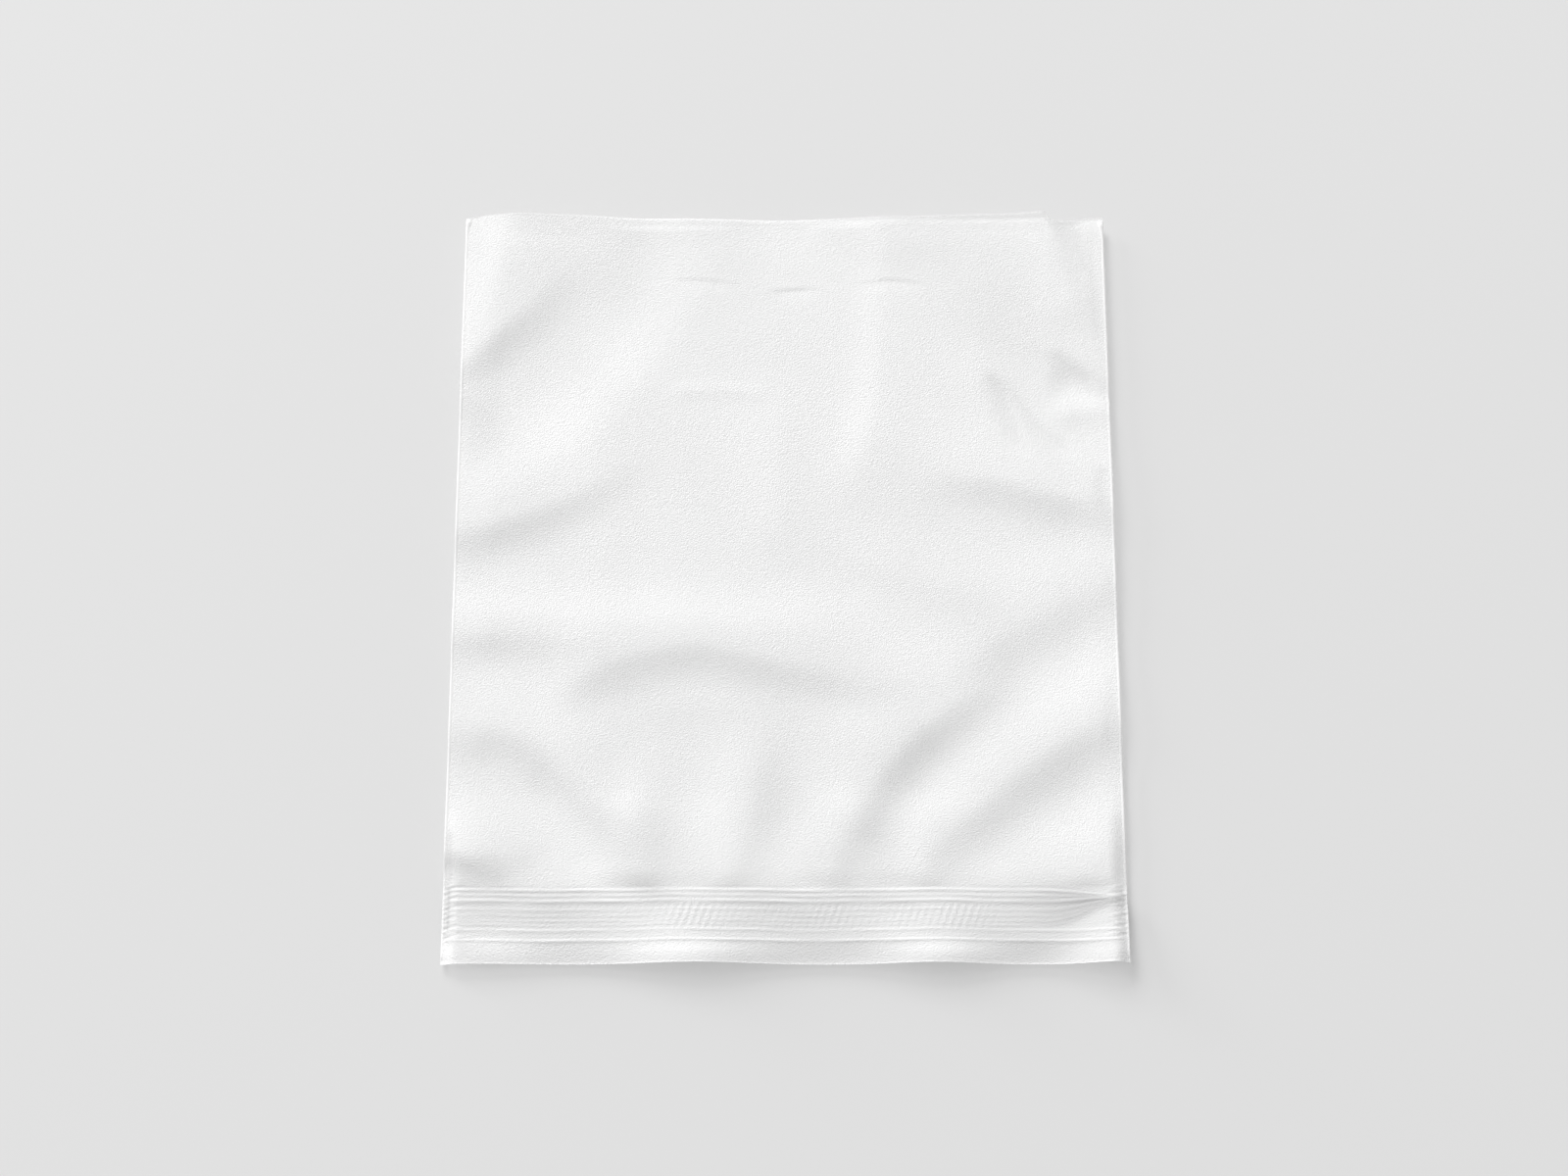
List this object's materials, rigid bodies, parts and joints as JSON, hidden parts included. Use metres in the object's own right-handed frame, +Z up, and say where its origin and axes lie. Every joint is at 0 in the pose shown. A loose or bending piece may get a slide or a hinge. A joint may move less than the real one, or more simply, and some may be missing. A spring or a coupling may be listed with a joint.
{
  "type": "press-to-close poly bag",
  "caption": "Flat translucent film bag with side welds, a bottom fold and a closed press-to-close zip across its mouth, lying empty with soft folds.",
  "frame": {"origin": "middle of the bag's footprint, on the surface that it lies on", "axes": "+X across the bag to the right seen from the mouth, +Y from the mouth to the bottom fold, +Z up from the back panel to the front panel"},
  "size_m": [0.2, 0.24, 0.0065],
  "materials": {
    "film": "milky translucent polyethylene film, satin",
    "zip": "clear extruded polyethylene, smooth"
  },
  "bodies": {
    "root": {"bag_film": "film", "zip_hook_strip": "zip", "zip_rib_strip": "zip"}
  },
  "joints": []
}
